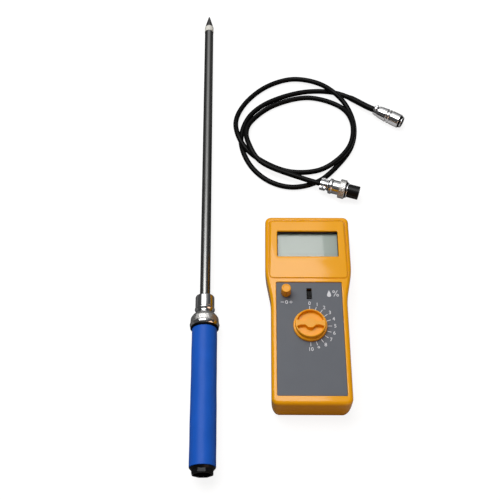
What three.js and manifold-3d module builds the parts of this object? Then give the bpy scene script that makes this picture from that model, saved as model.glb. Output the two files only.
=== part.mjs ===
// Handheld soil moisture meter kit: a meter, a stab probe and the lead that joins them,
// laid out side by side on a flat surface. Millimetres, +Z up. The origin is the centre of
// the meter's flat back, and +Y runs towards the meter's display end.

import * as THREE from 'three';
import { mergeVertices } from 'three/addons/utils/BufferGeometryUtils.js';
import Module from 'manifold-3d';

const wasm = await Module();
wasm.setup();

// ---- driving dimensions --------------------------------------------------------------

const GAP = 0.3;
const CORNER_STEPS = 3;

// Meter case. Half widths are across X.
const CASE_LENGTH = 160;
const HEAD_HALF = 34;
const BODY_HALF = 29.6;
const HEAD_FROM = 29;
const BODY_FROM = 5;
const CASE_TOP = 26.5;
const BEZEL_TOP = 28.2;
const SEAM = 12;
const WALL = 2.4;
// Levels of the case's foot and of its top edge, as [inset, z] or [inset, z, end inset].
const CASE_FOOT = [
  [3.6, 0, 0.9], [2.6, 0.7, 0.4], [1.7, WALL, 0.3], [1, 4.5, 0.2], [0.4, 8, 0.1], [0, SEAM + 1],
];
const CASE_EDGE = [[0, 23.5], [0.9, 25.6], [3, CASE_TOP]];

const BEZEL = { half: 31, low: 22.8, high: 75.6, bend: 38, slope: 5.7 };
const BEZEL_EDGE = [[0, 20], [0, 26.4], [1.5, 27.9], [2.1, BEZEL_TOP]];
const WINDOW = { half: 24.3, low: 41.6, high: 65 };
const PANEL = { half: 25.4, low: -73.2, high: 19.2, thick: 0.8, top: 25.8 };

const DIAL = { x: 0, y: -18, flange: 13, disc: 11.6, recess: 10.3, top: 32 };
const KNOB = { x: -18, y: 10, radius: 3.9, top: 34.6 };
const SWITCH = { x: 0, y: 9.5, width: 4.2, length: 9.3, nub: 5.6 };

const BOARD = { half: 19.5, low: -46, high: 71, low_z: 16, thick: 1.6 };
const BATTERY = { long: 46.4, wide: 26.5, tall: 17.5, x: -2.2, y: -62.9, z: 4.8 };
const DOOR = { half: 25, from: -50, thick: 2.1 };
const SCREWS = [[-27.4, 69.6], [27.4, 69.6], [-22.9, -41], [22.9, -41]];
const SOCKET_Z = 13;

// Stab probe, along its own +Y from the socket end.
const PROBE = {
  at: new THREE.Vector3(-78.3, -127.5, 14.4),
  turn: 1.43,
  dip: 1.29,
  length: 461,
  rod: 4.1,
  tube: 8,
  grip: 9.85,
  nut: 11.6,
  mouth: 6.1,
};

// Lead: the route of its centre line, from the socket plug to the ring plug.
const LEAD = 4.6;
const SLEEVE = 5.6;
const SLEEVE_SHARE = 0.039;
const LEAD_ROUTE = [
  [72.4, 207.3, 6.4], [61.5, 214.2, 5.8], [44, 228.6, 3.1], [29, 235, 2.4],
  [5, 235.4, 2.4], [-20, 227.8, 2.4], [-38.5, 216.5, 2.4], [-50.3, 201.5, 2.4],
  [-55.6, 176, 2.4], [-47, 149.5, 2.4], [-30, 132, 2.4], [-9.5, 125.8, 2.4], [13, 132, 2.4],
  [31.5, 150, 2.4], [44.5, 171, 2.4], [48, 195, 2.6], [41.5, 217.5, 4.6], [30, 231, 7.7],
  [14, 245, 5], [-8.5, 251, 2.6], [-32, 242, 2.4], [-51, 223, 2.5], [-60.2, 201, 4.2],
  [-58.5, 180, 7.9], [-51, 166, 5.6], [-38, 155, 2.8], [-13, 142.8, 2.4], [13, 143.5, 2.9],
  [29.5, 151.8, 6.1], [43, 169.5, 7.4], [46, 193, 7.8], [37, 215.5, 3.6], [7, 228, 2.5],
  [-27, 217.8, 2.4], [-46.5, 199, 3], [-50.8, 184, 7], [-48.5, 168, 10.2], [-38, 150, 8],
  [0.5, 131.3, 7.2], [18.8, 124.1, 8.4],
];
const SOCKET_PLUG = {
  at: [67.3, 210.5, 6.4], heading: -32.5, bore: 3.15, clamp: [0.6, 3.8], roll: -80,
};
const RING_PLUG = { at: [13.1, 125.9, 8.4], heading: -17.3, bore: 2.75, clamp: [1.2, 6.6] };
// How far a clamp's ears and screws stand out from its bore.
const CLAMP_REACH = 2.6;
const CLAMP_SCREW = 1.6;

// ---- materials -----------------------------------------------------------------------

const finish = (color, roughness, metalness) =>
  new THREE.MeshStandardMaterial({ color, roughness, metalness });

const orange = finish(0xf2a31b, 0.45, 0);
const grey = finish(0x696c74, 0.6, 0);
const black = finish(0x161616, 0.45, 0);
const blue = finish(0x2a5cb8, 0.5, 0);
const white = finish(0xe8e6df, 0.5, 0);
const clear = finish(0xdfe8e4, 0.08, 0);
const lcd = finish(0xb9cdc3, 0.2, 0);
const board = finish(0x1f5b3a, 0.5, 0);
const chrome = finish(0xd6d8da, 0.12, 1);
const steel = finish(0xa9abac, 0.3, 1);
const brass = finish(0xc9a24c, 0.3, 1);
const rubber = finish(0x121212, 0.8, 0);

// ---- solids --------------------------------------------------------------------------

// A closed mesh as a manifold solid, with its faces pointing out.
function solid(geometry) {
  const bare = geometry.index ? geometry.clone() : geometry;
  bare.deleteAttribute('normal');
  bare.deleteAttribute('uv');
  const merged = mergeVertices(bare, 1e-4);
  const p = merged.attributes.position.array;
  const index = merged.index.array;
  const faces = [];
  let volume = 0;
  const corner = (i) => new THREE.Vector3(p[3 * i], p[3 * i + 1], p[3 * i + 2]);
  for (let i = 0; i < index.length; i += 3) {
    const [a, b, c] = [index[i], index[i + 1], index[i + 2]];
    if (a !== b && b !== c && c !== a) {
      faces.push([a, b, c]);
      volume += corner(a).dot(corner(b).cross(corner(c)));
    }
  }
  const out = volume < 0 ? faces.map(([a, b, c]) => [a, c, b]) : faces;
  return new wasm.Manifold(new wasm.Mesh({
    numProp: 3,
    vertProperties: new Float32Array(p),
    triVerts: new Uint32Array(out.flat()),
  }));
}

function geometryOf(body) {
  const { numProp, vertProperties, triVerts } = body.getMesh();
  const count = vertProperties.length / numProp;
  const p = new Float32Array(count * 3);
  for (let i = 0; i < count; i += 1) {
    p.set(vertProperties.subarray(i * numProp, i * numProp + 3), i * 3);
  }
  const geometry = new THREE.BufferGeometry();
  geometry.setAttribute('position', new THREE.BufferAttribute(p, 3));
  geometry.setIndex(new THREE.BufferAttribute(new Uint32Array(triVerts), 1));
  return geometry;
}

const union = (first, ...others) => others.reduce((sum, next) => sum.add(next), first);
const cut = (first, ...tools) => tools.reduce((rest, tool) => rest.subtract(tool), first);

function block([x0, x1], [y0, y1], [z0, z1]) {
  const geometry = new THREE.BoxGeometry(x1 - x0, y1 - y0, z1 - z0);
  return solid(geometry.translate((x0 + x1) / 2, (y0 + y1) / 2, (z0 + z1) / 2));
}

// A round bar along Z; turn spins its facets about its axis.
function post(x, y, radius, [z0, z1], sides = 16, topRadius = radius, turn = 0) {
  const geometry = new THREE.CylinderGeometry(topRadius, radius, z1 - z0, sides);
  geometry.rotateX(Math.PI / 2).rotateZ(turn);
  return solid(geometry.translate(x, y, (z0 + z1) / 2));
}

// A body of revolution about Y from [radius, y] pairs that close on themselves.
function turned(profile, sides = 20) {
  const points = [...profile, profile[0]].map(([r, y]) => new THREE.Vector2(r, y));
  return solid(new THREE.LatheGeometry(points, sides));
}

// A plain ring about Y.
const ring = (inner, outer, [y0, y1], sides = 20) =>
  turned([[inner, y0], [outer, y0], [outer, y1], [inner, y1]], sides);

// A plain round bar along Y.
function bar(radius, [y0, y1], sides = 16) {
  const geometry = new THREE.CylinderGeometry(radius, radius, y1 - y0, sides);
  return solid(geometry.translate(0, (y0 + y1) / 2, 0));
}

// A polygon with rounded corners, from [x, y, corner radius].
function rounded(corners) {
  const shape = new THREE.Shape();
  corners.forEach(([x, y, r], i) => {
    const [px, py] = corners[(i + corners.length - 1) % corners.length];
    const [nx, ny] = corners[(i + 1) % corners.length];
    const before = new THREE.Vector2(px - x, py - y).setLength(r);
    const after = new THREE.Vector2(nx - x, ny - y).setLength(r);
    if (i === 0) {
      shape.moveTo(x + before.x, y + before.y);
    } else {
      shape.lineTo(x + before.x, y + before.y);
    }
    shape.quadraticCurveTo(x, y, x + after.x, y + after.y);
  });
  shape.closePath();
  return shape;
}

const oblong = (half, low, high, r) =>
  rounded([[half, low, r], [half, high, r], [-half, high, r], [-half, low, r]]);

// A shape pushed up from z0 to z1.
function slab(shape, [z0, z1]) {
  const geometry = new THREE.ExtrudeGeometry(shape, {
    depth: z1 - z0,
    bevelEnabled: false,
    curveSegments: CORNER_STEPS,
  });
  return solid(geometry.translate(0, 0, z0));
}

// A closed solid through copies of an outline: outline(inset, end inset) is a shape, and each
// level is an [inset, z] or an [inset, z, end inset].
function stacked(outline, levels) {
  const rings = levels.map(([inset, z, endInset = inset]) => {
    const points = outline(inset, endInset).getPoints(CORNER_STEPS);
    const open = points[0].distanceTo(points.at(-1)) < 1e-6 ? points.slice(0, -1) : points;
    return open.map(({ x, y }) => new THREE.Vector3(x, y, z));
  });
  const size = rings[0].length;
  const faces = [];
  const lid = (ring) => THREE.ShapeUtils.triangulateShape(rings[ring], [])
    .map((face) => face.map((i) => ring * size + i));
  lid(0).forEach(([a, b, c]) => faces.push([a, c, b]));
  for (let level = 0; level + 1 < rings.length; level += 1) {
    for (let i = 0; i < size; i += 1) {
      const [a, b] = [level * size + i, level * size + ((i + 1) % size)];
      faces.push([a, b, b + size], [a, b + size, a + size]);
    }
  }
  faces.push(...lid(rings.length - 1));
  const geometry = new THREE.BufferGeometry().setFromPoints(rings.flat());
  return solid(geometry.setIndex(faces.flat()));
}

const kit = new THREE.Group();

function add(group, name, body, material) {
  const mesh = new THREE.Mesh(geometryOf(body), material);
  mesh.name = name;
  group.add(mesh);
}

// ---- meter ---------------------------------------------------------------------------

function caseOutline(inset, endInset = inset) {
  const head = HEAD_HALF - inset;
  const body = BODY_HALF - inset;
  const end = CASE_LENGTH / 2 - endInset;
  const right = [[body, -end, 6], [body, BODY_FROM, 6], [head, HEAD_FROM, 6], [head, end, 5.5]];
  const sized = right.map(([x, y, r]) => [x, y, Math.max(0.6, r - inset)]);
  const left = sized.map(([x, y, r]) => [-x, y, r]).reverse();
  return rounded([...sized, ...left]);
}

const caseBlock = stacked(caseOutline, [...CASE_FOOT, ...CASE_EDGE]);
const socketHole = bar(6.3, [70, 90]).translate(0, 0, SOCKET_Z);

// The raised frame round the display, whose lower part slopes towards the controls.
function makeBezel() {
  const { half, low, high, bend, slope } = BEZEL;
  const outline = (inset) => oblong(half - inset, low + inset, high - inset, 4 - inset);
  const above = block([-40, 40], [low - bend - 1, 0], [0, 5]).rotate([slope, 0, 0]);
  return cut(stacked(outline, BEZEL_EDGE), above.translate(0, bend, BEZEL_TOP));
}

function makeFrontCase() {
  const bezel = makeBezel();
  const whole = union(caseBlock, bezel);
  const upper = block([-50, 50], [-100, 100], [SEAM + 0.15, 40]);
  const hollow = slab(caseOutline(WALL), [-5, CASE_TOP - 3.8]);
  const pocket = block([-27.2, 27.2], [38.6, 66.8], [10, BEZEL_TOP - 3.2]);
  const recess = slab(
    oblong(PANEL.half + 0.15, PANEL.low - 0.15, PANEL.high + 0.15, 1),
    [PANEL.top - PANEL.thick - 0.2, 40],
  );
  const window = slab(oblong(WINDOW.half, WINDOW.low, WINDOW.high, 0.8), [20, 40]);
  const holes = [
    post(DIAL.x, DIAL.y, 4, [20, 40]),
    post(KNOB.x, KNOB.y, 3.4, [20, 40], 20),
    block(
      [SWITCH.x - SWITCH.width / 2, SWITCH.x + SWITCH.width / 2],
      [SWITCH.y - SWITCH.length / 2, SWITCH.y + SWITCH.length / 2],
      [20, 40],
    ),
  ];
  const shell = cut(whole.intersect(upper), hollow, pocket, recess, window, ...holes);
  const bosses = SCREWS.map(([x, y]) => post(x, y, 3.1, [SEAM + 0.15, 24], 16));
  const bores = SCREWS.map(([x, y]) => post(x, y, 1.5, [5, 22.4], 12));
  return cut(union(shell, ...bosses), socketHole, ...bores);
}

function makeRearCase() {
  const lower = block([-50, 50], [-100, 100], [-1, SEAM - 0.15]);
  const inner = CASE_FOOT.filter(([, z]) => z >= WALL)
    .map(([inset, z, endInset = inset]) => [inset + WALL, z, endInset + WALL]);
  const hollow = stacked(caseOutline, [...inner, [WALL, 40]]);
  const opening = block([-DOOR.half - 0.3, DOOR.half + 0.3], [-90, DOOR.from], [-1, WALL + 1]);
  const shell = cut(caseBlock.intersect(lower), hollow, opening);
  const wide = BODY_HALF - WALL + 0.2;
  const partition = block([-wide, wide], [-49.2, -48], [1, SEAM - 0.15]).intersect(caseBlock);
  const bosses = SCREWS.map(([x, y]) => post(x, y, 3.1, [1, SEAM - 0.15], 16));
  const bores = SCREWS.map(([x, y]) => post(x, y, 1.5, [-1, 20], 12));
  const heads = SCREWS.map(([x, y]) => post(x, y, 2.5, [-1, 2.6], 16));
  return cut(union(shell, partition, ...bosses), socketHole, ...bores, ...heads);
}

function makeBatteryDoor() {
  const room = block([-DOOR.half, DOOR.half], [-90, DOOR.from - GAP], [-1, DOOR.thick]);
  const ridges = [0, 1, 2, 3].map((i) =>
    block([-9, 9], [-63.6 - 2.4 * i, -62.4 - 2.4 * i], [-1, 0.6]));
  return cut(caseBlock.intersect(room), ...ridges);
}

function makeFrontPanel() {
  const plate = slab(
    oblong(PANEL.half, PANEL.low, PANEL.high, 0.8),
    [PANEL.top - PANEL.thick, PANEL.top],
  );
  const slot = block(
    [SWITCH.x - SWITCH.width / 2, SWITCH.x + SWITCH.width / 2],
    [SWITCH.y - SWITCH.length / 2, SWITCH.y + SWITCH.length / 2],
    [20, 40],
  );
  return cut(
    plate,
    post(DIAL.x, DIAL.y, 4, [20, 40]),
    post(KNOB.x, KNOB.y, 3.4, [20, 40], 20),
    slot,
  );
}

// The dial's two finger recesses leave a bar across it with a round boss in the middle.
function makeRangeDial() {
  const base = PANEL.top + GAP;
  const flange = post(0, 0, DIAL.flange, [base, base + 2.2], 32, DIAL.flange - 0.5);
  const disc = post(0, 0, DIAL.disc, [base + 2, DIAL.top], 32, DIAL.disc - 0.5);
  const shaft = post(0, 0, 3, [18.6, base + 1], 20);
  const barAndBoss = union(
    block([-12, 12], [-2, 2], [base + 2.6, 40]),
    post(0, 0, 4, [base + 2.6, 40], 20),
  );
  const recess = cut(post(0, 0, DIAL.recess, [base + 2.6, 40], 28), barAndBoss);
  const slot = block([-2, 2], [-0.6, 0.6], [17, 21]);
  return cut(union(flange, disc, shaft), recess, slot).translate(DIAL.x, DIAL.y, 0);
}

function makeZeroKnob() {
  const foot = PANEL.top + GAP;
  const grip = post(0, 0, KNOB.radius, [foot, KNOB.top], 24, KNOB.radius - 0.3);
  const flutes = Array.from({ length: 12 }, (_, i) => {
    const angle = (i * Math.PI) / 6;
    const reach = KNOB.radius + 0.25;
    return post(reach * Math.cos(angle), reach * Math.sin(angle), 0.55, [20, KNOB.top - 1], 6);
  });
  const shaft = post(0, 0, 1.5, [19.2, foot + 1], 16);
  return union(cut(grip, ...flutes), shaft).translate(KNOB.x, KNOB.y, 0);
}

function makeSlider() {
  const low = SWITCH.y - SWITCH.length / 2 + GAP / 2;
  const nub = block([-1.75, 1.75], [low, low + SWITCH.nub], [22.9, 27.2]);
  const ribs = [0, 1, 2, 3].map((i) =>
    block([-1.75, 1.75], [low + 0.8 + 1.1 * i, low + 1.4 + 1.1 * i], [26.6, 28]));
  return cut(nub, ...ribs);
}

function makeMeter() {
  const meter = new THREE.Group();
  add(meter, 'front_case', makeFrontCase(), orange);
  add(meter, 'rear_case', makeRearCase(), orange);
  add(meter, 'battery_door', makeBatteryDoor(), orange);
  add(meter, 'front_panel', makeFrontPanel(), grey);
  add(meter, 'range_dial', makeRangeDial(), orange);
  add(meter, 'zero_knob', makeZeroKnob(), orange);
  add(meter, 'power_slider', makeSlider(), black);

  add(meter, 'display_window', block([-26.4, 26.4], [39.4, 66], [23.7, 24.7]), clear);
  add(meter, 'lcd_glass', block([-25.6, 25.6], [40, 65.4], [21.6, 23.4]), lcd);
  const around = block([-26.4, 26.4], [39.4, 66], [BOARD.low_z + BOARD.thick + 0.2, 21.3]);
  const inside = block([-24, 24], [41.6, 63.8], [10, 30]);
  add(meter, 'lcd_frame', cut(around, inside), black);

  const plate = [BOARD.low_z, BOARD.low_z + BOARD.thick];
  const circuit = block([-BOARD.half, BOARD.half], [BOARD.low, BOARD.high], plate);
  add(meter, 'circuit_board', circuit, board);

  const top = BOARD.low_z + BOARD.thick + 0.2;
  const dialBody = cut(post(0, 0, 8.5, [top, 22.4], 20), post(0, 0, 3.1, [18.2, 30], 16));
  add(meter, 'range_potentiometer', dialBody.translate(DIAL.x, DIAL.y, 0), steel);
  const zeroBody = cut(
    block([-4.8, 4.8], [-4.8, 4.8], [top, 22.4]),
    post(0, 0, 1.65, [18.6, 30], 16),
  );
  add(meter, 'zero_potentiometer', zeroBody.translate(KNOB.x, KNOB.y, 0), blue);
  const switchRoom = block([-1.95, 1.95], [-4.65, 4.65], [21.4, 30]);
  const switchBody = cut(block([-3.4, 3.4], [-6.5, 6.5], [top, 22.6]), switchRoom);
  add(meter, 'power_switch_body', switchBody.translate(SWITCH.x, SWITCH.y, 0), black);

  const { x, y, z, long, wide, tall } = BATTERY;
  const cell = block([-long / 2, long / 2], [-wide / 2, wide / 2], [z, z + tall]);
  const poles = [[-6.3, 2.9], [6.3, 3.9]].map(([offset, r]) =>
    bar(r, [long / 2 - 1, long / 2 + 2], 16)
      .rotate([0, 0, -90])
      .translate(0, offset, z + tall / 2));
  add(meter, 'battery', union(cell, ...poles).translate(x, y, 0), steel);
  const snapFrom = x + long / 2 + 2.3;
  const snap = block([snapFrom, snapFrom + 3], [y - 12.5, y + 12.5], [z + 2, z + tall - 2]);
  add(meter, 'battery_snap', snap, black);

  SCREWS.forEach(([sx, sy], i) => {
    const shank = post(sx, sy, 1.2, [1, 20], 12);
    const head = post(sx, sy, 2.2, [0.5, 2.3], 16);
    const drive = union(
      block([sx - 1.3, sx + 1.3], [sy - 0.3, sy + 0.3], [-1, 1.3]),
      block([sx - 0.3, sx + 0.3], [sy - 1.3, sy + 1.3], [-1, 1.3]),
    );
    add(meter, `case_screw_${i + 1}`, cut(union(shank, head), drive), steel);
  });
  return meter;
}

// Panel socket in the middle of the meter's display end.
function makeMeterSocket() {
  const socket = new THREE.Group();
  socket.position.set(0, CASE_LENGTH / 2, SOCKET_Z);
  const shell = turned([
    [5.2, -9], [6, -9], [6, 0.3], [7.2, 0.3], [7.2, 2.3], [6.6, 3], [5.2, 3],
  ]);
  add(socket, 'meter_socket_shell', shell, chrome);
  const nut = post(0, 0, 7.9, [-1.2, 1.2], 6).rotate([90, 0, 0]);
  const sized = cut(nut, bar(6.2, [-5, 5])).translate(0, -4.9, 0);
  add(socket, 'meter_socket_nut', sized, chrome);
  add(socket, 'meter_socket_insert', contactInsert(4.9, [-8.6, -3.4], 2.4), black);
  return socket;
}

// An insulating disc about Y with four round contact holes from its high end.
function contactInsert(radius, [y0, y1], pitch) {
  const holes = [[1, 1], [-1, 1], [-1, -1], [1, -1]].map(([i, k]) =>
    bar(0.75, [y1 - 3, y1 + 1], 6).translate((i * pitch) / 1.414, 0, (k * pitch) / 1.414));
  return cut(bar(radius, [y0, y1], 20), ...holes);
}

// ---- probe ---------------------------------------------------------------------------

function makeEndFitting() {
  const octagon = post(0, 0, 8.45, [0, 3.3], 8, 8.45, Math.PI / 8).rotate([-90, 0, 0]);
  const spigot = turned([[3, 3.2], [8, 3.2], [9.5, 4.8], [6.8, 4.8], [6.8, 16], [3, 16]]);
  const body = union(cut(octagon, bar(3, [-1, 20])), spigot);
  return cut(body, bar(PROBE.mouth, [-1, 14.4], 20));
}

function makeProbe() {
  const probe = new THREE.Group();
  probe.position.copy(PROBE.at);
  probe.rotation.set(
    -THREE.MathUtils.degToRad(PROBE.dip), 0, THREE.MathUtils.degToRad(PROBE.turn), 'ZXY',
  );
  add(probe, 'end_fitting', makeEndFitting(), black);
  const insert = contactInsert(PROBE.mouth - GAP, [-14.1, -10.8], 2.6).mirror([0, 1, 0]);
  add(probe, 'probe_socket_insert', insert, black);
  add(probe, 'handle_tube', ring(7.1, PROBE.tube, [5.2, 118]), steel);
  add(probe, 'handle_grip', ring(8.2, PROBE.grip, [5.2, 112.45], 28), blue);
  add(probe, 'probe_board', block([-5, 5], [26, 92], [-0.8, 0.8]), board);

  const bead = Array.from({ length: 8 }, (_, i) => {
    const angle = (i * Math.PI) / 4;
    return [10.1 + 1.05 * Math.cos(angle), 113.35 + 0.72 * Math.sin(angle)];
  });
  add(probe, 'grip_o_ring', turned(bead, 24), rubber);

  const nut = turned([
    [8.35, 114.6], [10.2, 114.6], [10.3, 114.2], [10.7, 114.15], [11.45, 115.2],
    [PROBE.nut, 116], [PROBE.nut, 116.4], [11.3, 116.9], [10.9, 121.6], [9.3, 124],
    [7.5, 125.8], [6.5, 126.4], [6.5, 119], [8.35, 119],
  ], 28);
  add(probe, 'coupling_nut', nut, chrome);

  const collar = turned([
    [4.4, 100], [6.8, 100], [6.8, 117.5], [6.2, 117.5], [6.2, 126.9], [6.8, 127.1],
    [6.8, 127.8], [7.8, 128.9], [8, 129.5], [7.8, 130.3], [7.1, 130.5], [7.1, 130.8],
    [7.5, 131.1], [7.5, 140.2], [7, 141], [5.6, 141.6], [4.4, 141.8],
  ], 20);
  add(probe, 'probe_collar', collar, chrome);
  add(probe, 'probe_rod', ring(2.9, PROBE.rod, [100, 438.3]), steel);
  add(probe, 'centre_conductor', bar(1.1, [96, 424], 12), brass);
  const insulator = turned([
    [1.7, 428], [2.6, 428], [2.6, 438.6], [4.35, 438.6], [4.35, 445], [1.7, 445],
  ]);
  add(probe, 'tip_insulator', insulator, white);
  const tip = turned([
    [0, 424.3], [1.4, 424.3], [1.4, 445.3], [4, 445.3], [4, 446], [0.5, PROBE.length - 0.6],
    [0, PROBE.length],
  ]);
  add(probe, 'probe_tip', tip, steel);
  return probe;
}

// ---- lead ----------------------------------------------------------------------------

// The stretch of the route between two shares of its length, as a round tube.
function tube(route, diameter, [from, to], steps, sides) {
  const count = 160;
  const points = Array.from({ length: count + 1 }, (_, i) =>
    route.getPointAt(from + ((to - from) * i) / count));
  const section = new THREE.Shape();
  section.absarc(0, 0, diameter / 2, 0, 2 * Math.PI);
  const path = new THREE.CatmullRomCurve3(points);
  const geometry = new THREE.ExtrudeGeometry(section, {
    steps,
    curveSegments: sides / 2,
    extrudePath: path,
  });
  return solid(geometry);
}

// Half of a cable clamp along a plug's +Y: a trough with an ear each side. The trough runs
// on past the ears by join.
function clampHalf([y0, y1], bore, thick, [low, high], [earLow, earHigh], join = 0) {
  const room = block([-9, 9], [-1, 20], [low, high]);
  const trough = ring(bore, bore + thick, [y0, y1 + join], 16).intersect(room);
  const ears = [-1, 1].map((side) => {
    const across = [side * (bore + 0.3), side * (bore + CLAMP_REACH)].sort((a, b) => a - b);
    return block(across, [y0, y1], [earLow, earHigh]);
  });
  const holes = [-1, 1].map((side) =>
    post(side * (bore + CLAMP_SCREW), (y0 + y1) / 2, 0.75, [-9, 9], 8));
  return cut(union(trough, ...ears), ...holes);
}

// The half over the cable, with its two screws.
function addClamp(plug, name, span, bore) {
  add(plug, `${name}_clamp`, clampHalf(span, bore, 1.05, [0.4, 9], [0.4, 1.6]), chrome);
  const middle = (span[0] + span[1]) / 2;
  [-1, 1].forEach((side, i) => {
    const x = side * (bore + CLAMP_SCREW);
    const shank = post(x, middle, 0.5, [-2.6, 2.2], 6);
    const head = post(x, middle, 0.95, [1.9, 3], 10, 0.75);
    const slot = block([-9, 9], [middle - 0.2, middle + 0.2], [2.6, 9]);
    add(plug, `${name}_screw_${i + 1}`, cut(union(shank, head), slot), steel);
  });
}

// The half under the cable, which is part of the plug's shell.
const cradle = (span, bore) => clampHalf(span, bore, 1.25, [-9, 0], [-1.7, 0], 0.5);

function plugGroup({ at, heading }) {
  const plug = new THREE.Group();
  plug.position.set(...at);
  plug.rotation.z = THREE.MathUtils.degToRad(heading - 90);
  return plug;
}

// The plug with a hollow nose, which goes to the meter. Its clamp is rolled about its axis.
function makeSocketPlug() {
  const plug = plugGroup(SOCKET_PLUG);
  const { bore, clamp, roll } = SOCKET_PLUG;
  const shell = turned([
    [bore, 3.9], [4.5, 3.9], [4.9, 4.8], [5.5, 7.4], [6, 11], [6.1, 12.4], [6.1, 13.8],
    [5.5, 14.3], [5.5, 16.9], [4.6, 16.9], [4.6, 12], [bore, 10],
  ], 20);
  const lower = cradle(clamp, bore).rotate([0, roll, 0]);
  add(plug, 'socket_plug_shell', union(shell, lower), chrome);
  const sleeve = turned([
    [5.8, 14.9], [6, 14.9], [6.2, 15.4], [6.2, 16.6], [6, 17], [6.3, 17.5], [6.3, 26],
    [6, 26.4], [5.2, 26.4], [5.2, 17.2], [5.8, 17.2],
  ], 20);
  add(plug, 'socket_plug_sleeve', sleeve, chrome);
  const nose = turned([
    [3.9, 17.3], [4.6, 17.3], [4.6, 27.8], [5.1, 28], [5.1, 28.7], [4.8, 29], [3.9, 29],
  ], 20);
  add(plug, 'socket_plug_nose', nose, chrome);
  add(plug, 'socket_plug_seal', ring(4.85, 5.5, [26.6, 27.6], 20), rubber);
  add(plug, 'socket_plug_insert', contactInsert(3.6, [17.5, 26], 1.9), black);
  const rolled = new THREE.Group();
  rolled.rotation.y = THREE.MathUtils.degToRad(roll);
  addClamp(rolled, 'socket_plug', clamp, bore);
  plug.add(rolled);
  return plug;
}

// The plug with a knurled ring and a black nose, which goes to the probe.
function makeRingPlug() {
  const plug = plugGroup(RING_PLUG);
  const { bore, clamp } = RING_PLUG;
  const shell = turned([
    [bore, 6.9], [4.4, 6.9], [4.6, 8.4], [6.7, 9.4], [6.7, 11.4], [6, 12.2], [6, 24.8],
    [6.4, 24.8], [6.4, 25.7], [5, 25.7], [5, 13], [bore, 11],
  ], 20);
  add(plug, 'ring_plug_shell', union(shell, cradle(clamp, bore)), chrome);
  const knurled = turned([
    [6.3, 18.1], [7.9, 18.1], [8.3, 18.6], [8.3, 23.1], [7.9, 23.6], [6.3, 23.6],
  ], 28);
  add(plug, 'ring_plug_ring', knurled, chrome);
  add(plug, 'ring_plug_seal', ring(6.25, 7, [23.8, 24.6], 20), rubber);
  add(plug, 'ring_plug_insert', union(
    contactInsert(5.85, [26, 35.5], 2.6),
    bar(4.6, [14, 26.4], 16),
  ), black);
  addClamp(plug, 'ring_plug', clamp, bore);
  return plug;
}

function makeLead() {
  const lead = new THREE.Group();
  const route = new THREE.CatmullRomCurve3(LEAD_ROUTE.map((p) => new THREE.Vector3(...p)));
  const seam = GAP / route.getLength();
  add(lead, 'lead_sleeve', tube(route, SLEEVE, [0, SLEEVE_SHARE], 4, 8), rubber);
  add(lead, 'lead_cable', tube(route, LEAD, [SLEEVE_SHARE + 2 * seam, 1], 76, 8), rubber);
  lead.add(makeSocketPlug(), makeRingPlug());
  return lead;
}

kit.add(makeMeter(), makeMeterSocket(), makeProbe(), makeLead());

export default kit;
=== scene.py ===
"""Looks for the soil moisture meter: meter, stab probe and lead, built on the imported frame."""

import math

import bmesh
import bpy
from mathutils import Matrix, Vector


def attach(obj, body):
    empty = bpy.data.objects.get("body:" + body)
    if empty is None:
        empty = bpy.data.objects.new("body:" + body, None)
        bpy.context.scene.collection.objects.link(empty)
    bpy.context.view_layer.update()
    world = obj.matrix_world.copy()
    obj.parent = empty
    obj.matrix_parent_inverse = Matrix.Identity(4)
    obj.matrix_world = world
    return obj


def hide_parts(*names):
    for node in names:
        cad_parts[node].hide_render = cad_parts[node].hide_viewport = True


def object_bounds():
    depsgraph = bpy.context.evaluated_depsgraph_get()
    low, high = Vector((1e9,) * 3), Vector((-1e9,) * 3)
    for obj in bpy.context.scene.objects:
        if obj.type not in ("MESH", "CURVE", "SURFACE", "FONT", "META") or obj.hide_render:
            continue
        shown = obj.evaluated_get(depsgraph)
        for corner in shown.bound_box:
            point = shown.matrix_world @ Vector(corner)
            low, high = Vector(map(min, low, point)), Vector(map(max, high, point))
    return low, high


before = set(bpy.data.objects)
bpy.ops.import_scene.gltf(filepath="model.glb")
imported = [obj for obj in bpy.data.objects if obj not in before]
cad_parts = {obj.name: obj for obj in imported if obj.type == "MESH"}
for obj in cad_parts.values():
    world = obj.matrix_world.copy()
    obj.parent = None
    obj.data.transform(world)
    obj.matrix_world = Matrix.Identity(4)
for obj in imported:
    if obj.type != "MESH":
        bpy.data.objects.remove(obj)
cad_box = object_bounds()

MM = 0.001
TAU = 2 * math.pi
scene = bpy.context.scene


# ---- camera, light and floor ---------------------------------------------------------

CAMERA_AT = (-0.0384, -0.2635, 0.563)
CAMERA_YAW, CAMERA_TILT, CAMERA_ROLL = 1.43, 30.15, -1.11
LENS = 55.8
LAMP_HEIGHT = 1.2
FLOOR_HALF, FLOOR_GAP = 6.0, 0.0002


def rotation(degrees, axis):
    return Matrix.Rotation(math.radians(degrees), 4, axis)


def add_camera():
    data = bpy.data.cameras.new("camera")
    data.lens = LENS
    data.sensor_width = 36
    data.clip_start = 0.01
    camera = bpy.data.objects.new("camera", data)
    scene.collection.objects.link(camera)
    turn = rotation(CAMERA_YAW, "Z") @ rotation(CAMERA_TILT, "X") @ rotation(CAMERA_ROLL, "Z")
    camera.matrix_world = Matrix.Translation(CAMERA_AT) @ turn
    scene.camera = camera


def add_area(name, at, aim, size, power, colour=(1, 1, 1)):
    """A rectangular lamp at one point, facing another."""
    data = bpy.data.lights.new(name, "AREA")
    data.shape = "RECTANGLE"
    data.size, data.size_y = size
    data.energy = power
    data.color = colour
    lamp = bpy.data.objects.new(name, data)
    scene.collection.objects.link(lamp)
    way = Vector(aim) - Vector(at)
    lamp.matrix_world = Matrix.Translation(at) @ way.to_track_quat("-Z", "Y").to_matrix().to_4x4()


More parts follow.
